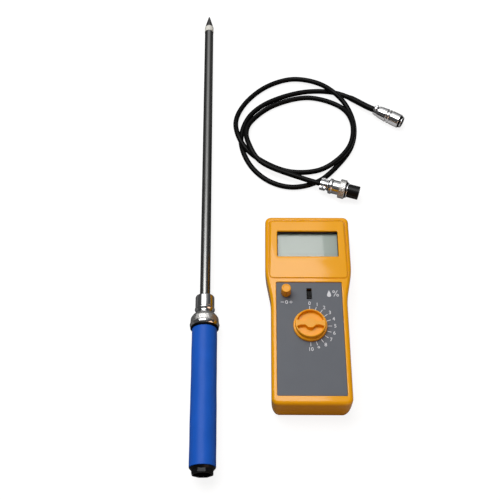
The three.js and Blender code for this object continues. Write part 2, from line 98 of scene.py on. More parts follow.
def srgb(r, g, b):
    """A linear colour from 0-255 display values."""
    def linear(v):
        v /= 255
        return v / 12.92 if v <= 0.04045 else ((v + 0.055) / 1.055) ** 2.4
    return (linear(r), linear(g), linear(b), 1)


def emptied(owner):
    """The nodes and links of a world's or a material's tree, with its first nodes removed."""
    owner.use_nodes = True
    owner.node_tree.nodes.clear()
    return owner.node_tree.nodes, owner.node_tree.links


def add_world():
    """A plain studio dome: bright overhead and behind, dark at its sides and near the camera."""
    world = bpy.data.worlds.new("studio")
    scene.world = world
    nodes, links = emptied(world)
    out = nodes.new("ShaderNodeOutputWorld")
    dome = nodes.new("ShaderNodeBackground")
    plain = nodes.new("ShaderNodeBackground")
    mix = nodes.new("ShaderNodeMixShader")
    path = nodes.new("ShaderNodeLightPath")
    place = nodes.new("ShaderNodeTexCoord")
    facing = nodes.new("ShaderNodeVectorMath")
    facing.operation = "DOT_PRODUCT"
    facing.inputs[1].default_value = (-0.1, 0.55, 0.82)
    ramp = nodes.new("ShaderNodeValToRGB")
    apart = nodes.new("ShaderNodeSeparateXYZ")
    sideways = nodes.new("ShaderNodeMath")
    sideways.operation = "MULTIPLY"
    narrowed = nodes.new("ShaderNodeMath")
    narrowed.operation = "MULTIPLY_ADD"
    narrowed.inputs[1].default_value = -1.4
    links.new(place.outputs["Generated"], facing.inputs[0])
    links.new(place.outputs["Generated"], apart.inputs[0])
    links.new(apart.outputs["X"], sideways.inputs[0])
    links.new(apart.outputs["X"], sideways.inputs[1])
    links.new(sideways.outputs[0], narrowed.inputs[0])
    links.new(facing.outputs["Value"], narrowed.inputs[2])
    links.new(narrowed.outputs[0], ramp.inputs[0])
    links.new(ramp.outputs[0], dome.inputs[0])
    stops = ramp.color_ramp.elements
    stops[0].position, stops[0].color = 0.0, (0.08, 0.08, 0.08, 1)
    stops[1].position, stops[1].color = 0.97, (0.9, 0.9, 0.9, 1)
    middle = stops.new(0.55)
    middle.color = (0.22, 0.22, 0.22, 1)
    dome.inputs["Strength"].default_value = 0.9
    plain.inputs["Color"].default_value = (1, 1, 1, 1)
    links.new(path.outputs["Is Camera Ray"], mix.inputs[0])
    links.new(dome.outputs[0], mix.inputs[1])
    links.new(plain.outputs[0], mix.inputs[2])
    links.new(mix.outputs[0], out.inputs["Surface"])


def add_floor():
    """A plain pale floor. It bounces less light than it shows, and mirrors palest at +X."""
    mesh = bpy.data.meshes.new("floor")
    half = FLOOR_HALF
    mesh.from_pydata([(-half, -half, 0), (half, -half, 0), (half, half, 0), (-half, half, 0)], [],
                     [(0, 1, 2, 3)])
    floor = bpy.data.objects.new("floor", mesh)
    scene.collection.objects.link(floor)
    floor.location.z = cad_box[0][2] - FLOOR_GAP
    skin = bpy.data.materials.new("pale floor")
    nodes, links = emptied(skin)
    out = nodes.new("ShaderNodeOutputMaterial")
    mix = nodes.new("ShaderNodeMixShader")
    path = nodes.new("ShaderNodeLightPath")
    seen = nodes.new("ShaderNodeAddShader")
    glow = nodes.new("ShaderNodeEmission")
    paper = nodes.new("ShaderNodeBsdfDiffuse")
    bounce = nodes.new("ShaderNodeBsdfDiffuse")
    glow.inputs["Strength"].default_value = 0.87
    paper.inputs["Color"].default_value = (0.22, 0.22, 0.22, 1)
    bounce.inputs["Color"].default_value = (0.34, 0.34, 0.34, 1)
    mirrored = nodes.new("ShaderNodeBsdfDiffuse")
    place = nodes.new("ShaderNodeNewGeometry")
    apart = nodes.new("ShaderNodeSeparateXYZ")
    paler = nodes.new("ShaderNodeMapRange")
    for name, value in (("From Min", 0.02), ("From Max", 0.05), ("To Min", 0.16), ("To Max", 0.6)):
        paler.inputs[name].default_value = value
    links.new(place.outputs["Position"], apart.inputs[0])
    links.new(apart.outputs["X"], paler.inputs["Value"])
    links.new(paler.outputs[0], mirrored.inputs["Color"])
    away = nodes.new("ShaderNodeMixShader")
    links.new(path.outputs["Is Glossy Ray"], away.inputs[0])
    links.new(bounce.outputs[0], away.inputs[1])
    links.new(mirrored.outputs[0], away.inputs[2])
    links.new(glow.outputs[0], seen.inputs[0])
    links.new(paper.outputs[0], seen.inputs[1])
    links.new(path.outputs["Is Camera Ray"], mix.inputs[0])
    links.new(away.outputs[0], mix.inputs[1])
    links.new(seen.outputs[0], mix.inputs[2])
    links.new(mix.outputs[0], out.inputs["Surface"])
    mesh.materials.append(skin)


scene.view_settings.view_transform = "Standard"
add_camera()
add_world()
add_floor()
add_area("key", (-0.44, 0.335, LAMP_HEIGHT), (-0.44, 0.335, 0), (1.12, 0.69), 12.5)
add_area("back", (-0.44, 0.8, LAMP_HEIGHT), (-0.44, 0.8, 0), (1.13, 0.24), 1.5)
add_area("warm", (0.5, -0.9, 0.35), (0, -0.05, 0.01), (0.8, 0.5), 2, (1, 0.62, 0.4))


# ---- materials -----------------------------------------------------------------------

def surface(name, colour, roughness, metallic=0.0, shade=0.06, patch=60, grain=2500, bump=0.08,
            rough_range=0.08, stretch=(1, 1, 1), edge=None, gloss=0.5, distance=0.00004):
    """A procedural finish: slow colour drift, fine roughness change and a fine grain in relief."""
    skin = bpy.data.materials.new(name)
    skin.use_nodes = True
    nodes, links = skin.node_tree.nodes, skin.node_tree.links
    shader = nodes["Principled BSDF"]
    shader.inputs["Metallic"].default_value = metallic
    shader.inputs["Specular IOR Level"].default_value = gloss
    if edge:
        shader.inputs["Specular Tint"].default_value = edge
    place = nodes.new("ShaderNodeTexCoord")
    sized = nodes.new("ShaderNodeMapping")
    sized.inputs["Scale"].default_value = stretch
    links.new(place.outputs["Object"], sized.inputs["Vector"])

    def noise(scale, detail, vector=sized.outputs[0]):
        node = nodes.new("ShaderNodeTexNoise")
        node.inputs["Scale"].default_value = scale
        node.inputs["Detail"].default_value = detail
        links.new(vector, node.inputs["Vector"])
        return node.outputs[0]

    drift = nodes.new("ShaderNodeMix")
    drift.data_type = "RGBA"
    drift.inputs["A"].default_value = [c * (1 - shade) for c in colour[:3]] + [1]
    drift.inputs["B"].default_value = [min(1, c * (1 + shade)) for c in colour[:3]] + [1]
    links.new(noise(patch, 3, place.outputs["Object"]), drift.inputs["Factor"])
    links.new(drift.outputs["Result"], shader.inputs["Base Color"])
    fine = noise(grain, 2)
    spread = nodes.new("ShaderNodeMapRange")
    spread.inputs["To Min"].default_value = roughness - rough_range
    spread.inputs["To Max"].default_value = roughness + rough_range
    links.new(fine, spread.inputs["Value"])
    links.new(spread.outputs[0], shader.inputs["Roughness"])
    relief = nodes.new("ShaderNodeBump")
    relief.inputs["Strength"].default_value = bump
    relief.inputs["Distance"].default_value = distance
    links.new(fine, relief.inputs["Height"])
    links.new(relief.outputs[0], shader.inputs["Normal"])
    return skin


def clear_pane():
    """Clear polished plastic: see-through, with its own gloss."""
    skin = bpy.data.materials.new("clear window")
    nodes, links = emptied(skin)
    out = nodes.new("ShaderNodeOutputMaterial")
    mix = nodes.new("ShaderNodeMixShader")
    gloss = nodes.new("ShaderNodeBsdfGlossy")
    through = nodes.new("ShaderNodeBsdfTransparent")
    fresnel = nodes.new("ShaderNodeFresnel")
    fresnel.inputs["IOR"].default_value = 1.5
    gloss.inputs["Roughness"].default_value = 0.03
    links.new(fresnel.outputs[0], mix.inputs[0])
    links.new(through.outputs[0], mix.inputs[1])
    links.new(gloss.outputs[0], mix.inputs[2])
    links.new(mix.outputs[0], out.inputs["Surface"])
    return skin


ORANGE = surface("orange plastic", (0.9, 0.39, 0.003, 1), 0.08, shade=0.04, patch=45,
                 grain=2600, bump=0.02, rough_range=0.02, gloss=0.35)
DIAL_ORANGE = surface("dial plastic", (0.9, 0.38, 0.006, 1), 0.22, shade=0.04, patch=80,
                      grain=3200, bump=0.06, rough_range=0.05, gloss=0.25)
PANEL_GREY = surface("panel film", srgb(100, 104, 111), 0.5, shade=0.05, patch=90, grain=3800,
                     bump=0.2, gloss=0.2)
PRINT = surface("white print", srgb(214, 215, 220), 0.6, shade=0.05, patch=300, grain=4000)
BLACK = surface("black plastic", srgb(14, 14, 14), 0.32, shade=0.2, patch=120, grain=2600,
                bump=0.12, gloss=0.2)
LCD = surface("display", (0.33, 0.39, 0.34, 1), 0.12, shade=0.04, patch=50, grain=1200, bump=0.01,
              rough_range=0.02)
BLUE = surface("blue sleeve", srgb(28, 92, 196), 0.42, shade=0.12, patch=70, grain=1400,
               bump=0.2, stretch=(1, 0.25, 1), gloss=0.15, distance=0.00008)
WHITE = surface("white plastic", srgb(222, 220, 212), 0.45, shade=0.05, patch=200, grain=2500)
CHROME = surface("chrome", (0.74, 0.74, 0.75, 1), 0.06, metallic=1, shade=0.05, patch=150,
                 grain=900, bump=0.02, rough_range=0.02, edge=(0.25, 0.25, 0.25, 1))
KNURL = surface("knurled metal", (0.68, 0.67, 0.65, 1), 0.36, metallic=1, shade=0.12, patch=400,
                grain=1600, bump=0.2, edge=(0.4, 0.4, 0.4, 1))
STEEL = surface("ground steel", (0.28, 0.28, 0.275, 1), 0.24, metallic=1, shade=0.08, patch=60,
                grain=1500, bump=0.08, rough_range=0.05, stretch=(1, 0.02, 1),
                edge=(0.05, 0.05, 0.05, 1))
POINT = surface("tip steel", (0.2, 0.2, 0.2, 1), 0.36, metallic=1, shade=0.12, patch=200,
                grain=1800, bump=0.15, edge=(0.2, 0.2, 0.2, 1))
BRASS = surface("brass", srgb(196, 160, 84), 0.28, metallic=1, shade=0.08, patch=100, grain=1500)
RUBBER = surface("black cable", srgb(9, 9, 9), 0.4, shade=0.2, patch=90, grain=900,
                 bump=0.1, gloss=0.1)
BOARD_GREEN = surface("board", srgb(32, 96, 58), 0.4, shade=0.15, patch=350, grain=1500)
TRIMMER = surface("trimmer blue", srgb(45, 92, 170), 0.4, shade=0.06, patch=200, grain=2000)
BATTERY = surface("battery wrap", srgb(92, 96, 104), 0.35, metallic=0.3, shade=0.12, patch=90,
                  grain=1400)
PANE = clear_pane()


# ---- mesh tools (sizes in millimetres) -----------------------------------------------

SHARP_EDGE = 32
FILLET_SHARE = 0.42


def made(name, verts, faces, place=Matrix.Identity(4)):
    """A closed mesh object from points in millimetres, its faces turned outwards."""
    mesh = bpy.data.meshes.new(name)
    mesh.from_pydata([(x * MM, y * MM, z * MM) for x, y, z in verts], [], faces)
    work = bmesh.new()
    work.from_mesh(mesh)
    bmesh.ops.remove_doubles(work, verts=work.verts, dist=1e-6)
    bmesh.ops.dissolve_degenerate(work, edges=work.edges, dist=1e-7)
    bmesh.ops.recalc_face_normals(work, faces=work.faces)
    work.to_mesh(mesh)
    work.free()
    obj = bpy.data.objects.new(name, mesh)
    scene.collection.objects.link(obj)
    obj.matrix_world = place
    return obj


def baked(obj):
    """Puts a mesh's modifiers into it for good."""
    bpy.context.view_layer.update()
    evaluated = obj.evaluated_get(bpy.context.evaluated_depsgraph_get())
    mesh = bpy.data.meshes.new_from_object(evaluated)
    obj.modifiers.clear()
    old, obj.data = obj.data, mesh
    mesh.name = obj.name
    bpy.data.meshes.remove(old)


def smooth(obj):
    """Smooth faces with crisp edges; the larger faces lead the normals."""
    mesh = obj.data
    mesh.polygons.foreach_set("use_smooth", [True] * len(mesh.polygons))
    mesh.set_sharp_from_angle(angle=math.radians(SHARP_EDGE))
    obj.modifiers.new("normals", "WEIGHTED_NORMAL").keep_sharp = True
    baked(obj)


def dress(obj, body, slot, skin, *nodes):
    """Rides a piece on its body and gives it its finish; it stands for the named CAD nodes."""
    obj.data.transform(obj.matrix_world)
    obj.matrix_world = Matrix.Identity(4)
    obj.data.materials.clear()
    obj.data.materials.append(skin)
    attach(obj, body)
    if nodes:
        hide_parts(*nodes)
    return obj


def soften(line, fillet, steps=3):
    """Rounds the corners of a closed profile, apart from those on the axis."""
    out = []
    count = len(line)
    for i, (r, y) in enumerate(line):
        if r == 0 or fillet == 0:
            out.append((r, y))
            continue
        here = Vector((r, y))
        before = Vector(line[i - 1]) - here
        after = Vector(line[(i + 1) % count]) - here
        reach = min(fillet, FILLET_SHARE * before.length, FILLET_SHARE * after.length)
        a, b = here + before.normalized() * reach, here + after.normalized() * reach
        for k in range(steps + 1):
            t = k / steps
            p = a * (1 - t) ** 2 + here * 2 * t * (1 - t) + b * t * t
            out.append((p.x, p.y))
    return out


def dense(line, low, high, step):
    """Adds points to a closed profile's long edges between two stations."""
    out = []
    for i, (r, y) in enumerate(line):
        out.append((r, y))
        nr, ny = line[(i + 1) % len(line)]
        if min(y, ny) >= low and max(y, ny) <= high:
            count = int(math.dist((r, y), (nr, ny)) / step)
            out += [(r + (nr - r) * k / (count + 1), y + (ny - y) * k / (count + 1))
                    for k in range(1, count + 1)]
    return out


def lathe(name, profile, place=Matrix.Identity(4), sides=96, fillet=0.2, relief=None, fine=None):
    """A body of revolution about its own Y; relief(angle, y, radius) moves its skin in or out."""
    line = soften(profile, fillet)
    if fine:
        line = dense(line, *fine)
    verts, faces = [], []
    for r, y in line:
        for i in range(sides):
            a = TAU * i / sides
            reach = r + (relief(a, y, r) if relief else 0)
            verts.append((reach * math.sin(a), y, reach * math.cos(a)))
    count = len(line)
    for k in range(count):
        n = (k + 1) % count
        for i in range(sides):
            j = (i + 1) % sides
            faces.append((k * sides + i, k * sides + j, n * sides + j, n * sides + i))
    obj = made(name, verts, faces, place)
    smooth(obj)
    return obj


def stack(name, outline, levels):
    """Stacked copies of an outline: outline(inset) at each (inset, z), closed at both ends."""
    rings = [[(x, y, z) for x, y in outline(inset)] for inset, z in levels]
    size = len(rings[0])
    verts = [p for ring in rings for p in ring]
    last = size * (len(rings) - 1)
    faces = [tuple(reversed(range(size))), tuple(range(last, last + size))]
    for low in range(0, last, size):
        for i in range(size):
            j = (i + 1) % size
            faces.append((low + i, low + j, low + size + j, low + size + i))
    return made(name, verts, faces)


def rounded(corners, steps=10):
    """Points round a polygon with its corners curved, from [x, y, reach of the corner]."""
    out = []
    for i, (x, y, r) in enumerate(corners):
        here = Vector((x, y))
        before = (Vector(corners[i - 1][:2]) - here).normalized() * r
        after = (Vector(corners[(i + 1) % len(corners)][:2]) - here).normalized() * r
        for k in range(steps + 1):
            t = k / steps
            p = (here + before) * (1 - t) ** 2 + here * 2 * t * (1 - t) + (here + after) * t * t
            out.append((p.x, p.y))
    return out


def oblong(half, low, high, r):
    """An outline function of a rounded rectangle."""
    def outline(inset):
        c, reach = half - inset, max(0.05, r - inset)
        return rounded([(c, low + inset, reach), (c, high - inset, reach),
                        (-c, high - inset, reach), (-c, low + inset, reach)])
    return outline


def circle(x, y, radius, sides=96):
    """An outline function of a circle."""
    def outline(inset):
        r = radius - inset
        return [(x + r * math.cos(TAU * i / sides), y + r * math.sin(TAU * i / sides))
                for i in range(sides)]
    return outline


def block(x, y, z):
    """A plain cutter."""
    corners = [(a, b, c) for c in z for a, b in zip((*x, *reversed(x)), (y[0], y[0], y[1], y[1]))]
    faces = [(3, 2, 1, 0), (4, 5, 6, 7), (0, 1, 5, 4), (1, 2, 6, 5), (2, 3, 7, 6), (3, 0, 4, 7)]
    return made("cutter", corners, faces)


def wedge(x, y, z, top):
    """A cutter whose underside climbs from z[0] at y[0] to z[1] at y[1]."""
    corners = [(a, b, low) for b, low in zip(y, z) for a in x] + [(a, b, top) for b in y for a in x]
    faces = [(0, 1, 3, 2), (4, 6, 7, 5), (0, 4, 5, 1), (2, 3, 7, 6), (0, 2, 6, 4), (1, 5, 7, 3)]
    return made("cutter", corners, faces)


def combine(obj, tools, operation):
    """Joins or cuts meshes for good."""
    for tool in tools:
        step = obj.modifiers.new("step", "BOOLEAN")
        step.operation = operation
        step.solver = "EXACT"
        step.object = tool
    baked(obj)
    for tool in tools:
        bpy.data.objects.remove(tool)
    return obj


def cut(obj, *tools):
    return combine(obj, tools, "DIFFERENCE")


def join(obj, *tools):
    return combine(obj, tools, "UNION")


def quarter(radius, top, out=0.0, steps=8):
    """Levels of a rounded top edge, from its foot to the flat top."""
    angles = [k * math.pi / 2 / steps for k in range(steps + 1)]
    return [(out + radius * (1 - math.cos(a)), top - radius * (1 - math.sin(a))) for a in angles]


# ---- lead ----------------------------------------------------------------------------

CABLE, SLEEVE = 0.0046, 0.0056
ROUTE_MM = [
    (72.4, 207.3, 6.4), (61.5, 214.2, 5.8), (44, 228.6, 3.1), (29, 235, 2.4), (5, 235.4, 2.4),
    (-20, 227.8, 2.4), (-38.5, 216.5, 2.4), (-50.3, 201.5, 2.4), (-55.6, 176, 2.4),
    (-47, 149.5, 2.4), (-30, 132, 2.4), (-9.5, 125.8, 2.4), (13, 132, 2.4), (31.5, 150, 2.4),
    (44.5, 171, 2.4), (48, 195, 2.6), (41.5, 217.5, 4.6), (30, 231, 7.7), (14, 245, 5),
    (-8.5, 251, 2.6), (-32, 242, 2.4), (-51, 223, 2.5), (-60.2, 201, 4.2), (-58.5, 180, 7.9),
    (-51, 166, 5.6), (-38, 155, 2.8), (-13, 142.8, 2.4), (13, 143.5, 2.9), (29.5, 151.8, 6.1),
    (43, 169.5, 7.4), (46, 193, 7.8), (37, 215.5, 3.6), (7, 228, 2.5), (-27, 217.8, 2.4),
    (-46.5, 199, 3), (-50.8, 184, 7), (-48.5, 168, 10.2), (-38, 150, 8), (0.5, 131.3, 7.2),
    (18.8, 124.1, 8.4),
]


def centripetal(points, per_span):
    """A smooth line through all the points, as the CAD draws it."""
    known = [Vector(p) for p in points]
    known = [known[0] * 2 - known[1]] + known + [known[-1] * 2 - known[-2]]
    line = []
    for i in range(1, len(known) - 2):
        a, b, c, d = known[i - 1:i + 3]
        gaps = [max(1e-6, (q - p).length ** 0.5) for p, q in ((a, b), (b, c), (c, d))]
        t0, t1 = 0, gaps[0]
        t2, t3 = t1 + gaps[1], t1 + gaps[1] + gaps[2]
        for k in range(per_span):
            t = t1 + (t2 - t1) * k / per_span
            p = a * ((t1 - t) / (t1 - t0)) + b * ((t - t0) / (t1 - t0))
            q = b * ((t2 - t) / (t2 - t1)) + c * ((t - t1) / (t2 - t1))
            r = c * ((t3 - t) / (t3 - t2)) + d * ((t - t2) / (t3 - t2))
            s = p * ((t2 - t) / (t2 - t0)) + q * ((t - t0) / (t2 - t0))
            u = q * ((t3 - t) / (t3 - t1)) + r * ((t - t1) / (t3 - t1))
            line.append(s * ((t2 - t) / (t2 - t1)) + u * ((t - t1) / (t2 - t1)))
    return line + [known[-2]]


def cable_curve(name, line, diameter, radii=None):
    """A round cable along a line, with closed ends."""
    data = bpy.data.curves.new(name, "CURVE")
    data.dimensions = "3D"
    data.bevel_depth = diameter / 2
    data.bevel_resolution = 8
    data.use_fill_caps = True
    spline = data.splines.new("POLY")
    spline.points.add(len(line) - 1)
    for i, p in enumerate(line):
        spline.points[i].co = (p.x * MM, p.y * MM, p.z * MM, 1)
        spline.points[i].radius = radii[i] if radii else 1
    spline.use_smooth = True
    obj = bpy.data.objects.new(name, data)
    scene.collection.objects.link(obj)
    return obj


lead_line = centripetal(ROUTE_MM, 10)
cable = cable_curve("cable", lead_line, CABLE)
dress(cable, "lead", "cable_black", RUBBER, "lead_cable")


def travelled(line):
    """The length from the start of a line to each of its points."""
    lengths = [0]
    for p, q in zip(line, line[1:]):
        lengths.append(lengths[-1] + (q - p).length)
    return lengths


SLEEVE_LENGTH, SLEEVE_TAPER = 36.0, 5.0
run = travelled(lead_line)
sleeve_run = [s for s in run if s <= SLEEVE_LENGTH]
sleeve_radii = [min(1, 0.8 + 0.2 * (SLEEVE_LENGTH - s) / SLEEVE_TAPER) for s in sleeve_run]
sleeve = cable_curve("cable_sleeve", lead_line[:len(sleeve_run)], SLEEVE, sleeve_radii)
dress(sleeve, "lead", "cable_black", RUBBER, "lead_sleeve")


# ---- meter case ----------------------------------------------------------------------

HEAD_HALF, BODY_HALF, END = 34, 29.6, 80
CASE_TOP, BEZEL_TOP, SEAM, WALL = 26.5, 28.2, 12, 2.4
PANEL_TOP = 25.8
SCREWS = [(-27.4, 69.6), (27.4, 69.6), (-22.9, -41), (22.9, -41)]
SOCKET_Z = 13
DIAL_AT, KNOB_AT = (0, -18), (-18, 10)
SWITCH_LOW, SWITCH_HIGH, SWITCH_HALF = 4.85, 14.15, 2.1
SOCKET_HOLE, DIAL_HOLE, KNOB_HOLE = 6.3, 4, 3.4
FACET_LOW, FACET_HIGH, FACET_DROP = 22, 38, 1.15
END_SHARE = 0.25


def case_outline(inset, end_share=1.0):
    """The case from above: a wider head, sloping shoulders and a narrower body."""
    head, body, end = HEAD_HALF - inset, BODY_HALF - inset, END - inset * end_share
    right = [(body, -end, 6), (body, 5, 6), (head, 29, 6), (head, end, 5.5)]
    right = [(x, y, max(0.4, r - inset)) for x, y, r in right]
    left = [(-x, y, r) for x, y, r in reversed(right)]
    return rounded(right + left)


def bar_cutter(radius, low, high, z):
    """A round cutter along Y at height z."""
    return lathe("cutter", [(0, low), (radius, low), (radius, high), (0, high)],
                 Matrix.Translation((0, 0, z * MM)), 64, 0)


def foot(z):
    """How far the case's rounded foot is drawn in at a height."""
    return 3.3 * math.exp(-z / 3.8) + 0.3 * max(0, 1 - z / 0.25) ** 2


def rear_outline(inset):
    """The outline below the seam, which is drawn in mostly at its sides."""
    return case_outline(inset, END_SHARE)


def rear_room(inset):
    """The room inside the rear case, a wall's thickness in from its outline."""
    return case_outline(inset + WALL, (END_SHARE * inset + WALL) / (inset + WALL))


def control_openings():
    """Cutters for the dial's and knob's shafts and for the switch, through the top face."""
    return [stack("cutter", circle(*DIAL_AT, DIAL_HOLE), [(0, 20), (0, 40)]),
            stack("cutter", circle(*KNOB_AT, KNOB_HOLE), [(0, 20), (0, 40)]),
            block((-SWITCH_HALF, SWITCH_HALF), (SWITCH_LOW, SWITCH_HIGH), (20, 40))]


def at_screws(name, radius, sides, *levels):
    """The same round post or hole at each case screw."""
    return [stack(name, circle(x, y, radius, sides), levels) for x, y in SCREWS]


LIP = 0.35
front_levels = [(LIP + 0.1, SEAM + 0.15), (0.08, SEAM + 0.45), (0, SEAM + 3)]
front = stack("case_front", case_outline, front_levels + quarter(3, CASE_TOP))
bezel = stack("bezel", oblong(31, 22.8, 75.6, 4), [
    (0, 20), (0, 26.3), (0.1, 26.6), (1.5, 27.95), (1.8, 28.12), (2.3, BEZEL_TOP)])
cut(bezel, wedge((-40, 40), (FACET_LOW, FACET_HIGH), (BEZEL_TOP - FACET_DROP, BEZEL_TOP), 32))
front = join(front, bezel)
groove_out = stack("cutter", oblong(31.35, 22.45, 75.95, 4.35), [(0, 25.95), (0, 27.4)])
groove_in = stack("cutter", oblong(30.95, 22.85, 75.55, 3.95), [(0, 25.5), (0, 28)])
cut(groove_out, groove_in)
window = stack("cutter", oblong(24.3, 41.6, 65, 0.8),
               [(0, 20), (0, 27.5), (-0.1, 27.85), (-0.4, 28.12), (-0.9, 28.25), (-0.9, 30)])
recess = stack("cutter", oblong(25.55, -73.35, 19.35, 1.1),
               [(0, 24.8), (0, 26.1), (-0.12, 26.35), (-0.4, 26.52), (-0.4, 30)])
cut(
    front, groove_out, window, recess,
    stack("cutter", case_outline, [(WALL, 0), (WALL, 22.7)]),
    block((-27.2, 27.2), (38.6, 66.8), (10, 25)), *control_openings(),
)
join(front, *at_screws("boss", 3.1, 32, (0, 12.15), (0, 24)))
cut(front, bar_cutter(SOCKET_HOLE, 70, 90, SOCKET_Z),
    *at_screws("cutter", 1.5, 24, (0, 5), (0, 22.4)))
smooth(front)
dress(front, "meter", "case_orange", ORANGE, "front_case")

FOOT_STEPS = [0, 0.06, 0.15, 0.3, 0.6, 1.1, 1.8, 2.7, 3.8, 5.2, 7, 9.2]
rear_levels = [(foot(z), z) for z in FOOT_STEPS]
rear = stack("case_rear", rear_outline,
             rear_levels + [(foot(11.5), SEAM - 0.5), (LIP + 0.2, SEAM - 0.15)])
room = [(foot(z), z) for z in FOOT_STEPS if z > WALL]
cut(
    rear, stack("cutter", rear_room, room + [(0, 40)]),
    block((-25.3, 25.3), (-90, -50), (-1, WALL + 1)),
)
join(
    rear, block((-BODY_HALF + 3.5, BODY_HALF - 3.5), (-49.2, -48), (1, SEAM - 0.15)),
    *at_screws("boss", 3.1, 32, (0, 1), (0, SEAM - 0.15)),
)
cut(
    rear, bar_cutter(SOCKET_HOLE, 70, 90, SOCKET_Z),
    *at_screws("cutter", 1.5, 24, (0, -1), (0, 20)),
    *at_screws("cutter", 2.5, 32, (-0.5, -1), (-0.5, 0), (0, 0.5), (0, 2.6)),
)
smooth(rear)
dress(rear, "meter", "case_orange", ORANGE, "rear_case")

door = stack("battery_cover", rear_outline, rear_levels)
outside = [block((-50, -25), (-90, 90), (-1, 9)), block((25, 50), (-90, 90), (-1, 9)),
           block((-50, 50), (-50.3, 90), (-2, 10)), block((-60, 60), (-100, 100), (2.1, 9))]
cut(door, *outside)
cut(door, *[stack("cutter", oblong(9, -63.6 - 2.4 * i, -62.4 - 2.4 * i, 0.55),
                  [(-0.2, -1), (-0.2, 0), (0.1, 0.6)]) for i in range(4)])
smooth(door)
dress(door, "battery_door", "case_orange", ORANGE, "battery_door")

panel = stack("face_plate", oblong(25.4, -73.2, 19.2, 0.9),
              [(0, 25), (0, 25.65), (0.15, PANEL_TOP)])
cut(panel, *control_openings())
smooth(panel)
dress(panel, "meter", "panel_grey", PANEL_GREY, "front_panel")


# ---- printed marks -------------------------------------------------------------------

INK_LOW, INK_HIGH = PANEL_TOP - 0.02, PANEL_TOP + 0.04
SCALE_STEP, SCALE_MARKS = 18, 11
MARK_WIDTH = 0.55


def plate(name, points, low=INK_LOW, high=INK_HIGH):
    """A thin printed shape from its outline."""
    return stack(name, lambda inset: points, [(0, low), (0, high)])


def merged(name, parts):
    """Several meshes as one piece."""
    work = bmesh.new()
    for part in parts:
        part.data.transform(part.matrix_world)
        work.from_mesh(part.data)
        bpy.data.objects.remove(part)
    mesh = bpy.data.meshes.new(name)
    work.to_mesh(mesh)
    work.free()
    obj = bpy.data.objects.new(name, mesh)
    scene.collection.objects.link(obj)
    return obj


def stroke(a, b, width):
    """A straight printed line with rounded ends."""
    a, b = Vector(a), Vector(b)
    along = (b - a).normalized()
    start = math.atan2(along.y, along.x)
    points = []
    for centre, turn in ((a, start + math.pi / 2), (b, start - math.pi / 2)):
        for k in range(7):
            angle = turn + math.pi * k / 6
            points.append((centre.x + width / 2 * math.cos(angle),
                           centre.y + width / 2 * math.sin(angle)))
    return plate("stroke", points)


def on_scale(step, radius):
    """A point of the dial's scale, clockwise from straight up."""
    angle = math.radians(90 - SCALE_STEP * step)
    return (DIAL_AT[0] + radius * math.cos(angle), DIAL_AT[1] + radius * math.sin(angle))


def loop(x, y, wide, tall, width):
    """A printed oval ring."""
    outer, inner = [], []
    for k in range(32):
        a = TAU * k / 32
        for line, grow in ((outer, width / 2), (inner, -width / 2)):
            line.append((x + (wide / 2 + grow) * math.cos(a), y + (tall / 2 + grow) * math.sin(a)))
    return cut(plate("oval", outer), plate("cutter", inner, INK_LOW - 1, INK_HIGH + 1))


def digits(text, x, y, height):
    """Printed digits centred on a point."""
    data = bpy.data.curves.new("digits", "FONT")
    data.body = text
    data.align_x = "CENTER"
    data.align_y = "CENTER"
    data.size = height * 1.4 * MM
    data.extrude = (INK_HIGH - INK_LOW) / 2 * MM
    data.offset = 0.00004
    obj = bpy.data.objects.new("digits", data)
    scene.collection.objects.link(obj)
    bpy.context.view_layer.update()
    evaluated = obj.evaluated_get(bpy.context.evaluated_depsgraph_get())
    mesh = bpy.data.meshes.new_from_object(evaluated)
    bpy.data.objects.remove(obj)
    shown = bpy.data.objects.new("digits", mesh)
    scene.collection.objects.link(shown)
    shown.matrix_world = Matrix.Translation((x * MM, y * MM, (INK_LOW + INK_HIGH) / 2 * MM))
    return shown


ticks = merged("scale_ticks", [stroke(on_scale(i, 13.6), on_scale(i, 16.4), 0.5)
                               for i in range(SCALE_MARKS)])
dress(ticks, "meter", "white_plastic", PRINT)
numbers = merged("scale_numbers", [digits(str(i), *on_scale(i, 19), 2.9)
                                   for i in range(SCALE_MARKS)])
dress(numbers, "meter", "white_plastic", PRINT)

drop_points = []
for k in range(40):
    a = TAU * k / 40
    pinch = ((1 + math.sin(a)) / 2) ** 1.6
    drop_points.append((15.4 + 2 * math.cos(a) * (1 - pinch), 8.8 + 2.2 * math.sin(a)
                        + 1.7 * pinch))
drop = plate("moisture_drop", drop_points)
dress(drop, "meter", "white_plastic", PRINT)
unit = merged("unit_mark", [
    loop(19, 11.2, 1.4, 1.7, MARK_WIDTH), loop(22, 8.1, 1.4, 1.7, MARK_WIDTH),
    stroke((21.9, 12.1), (19.1, 7.2), MARK_WIDTH)])
dress(unit, "meter", "white_plastic", PRINT)
zero_mark = merged("zero_mark", [
    stroke((-21.9, 2.1), (-19.9, 2.1), MARK_WIDTH), loop(-17.6, 2.1, 1.7, 2.5, MARK_WIDTH),
    stroke((-15.2, 2.1), (-13.2, 2.1), MARK_WIDTH), stroke((-14.2, 1.1), (-14.2, 3.1), MARK_WIDTH)])
dress(zero_mark, "meter", "white_plastic", PRINT)


# ---- controls ------------------------------------------------------------------------

DIAL_BASE = PANEL_TOP + 0.3
DIAL_TOP, KNOB_TOP = 32, 34.6


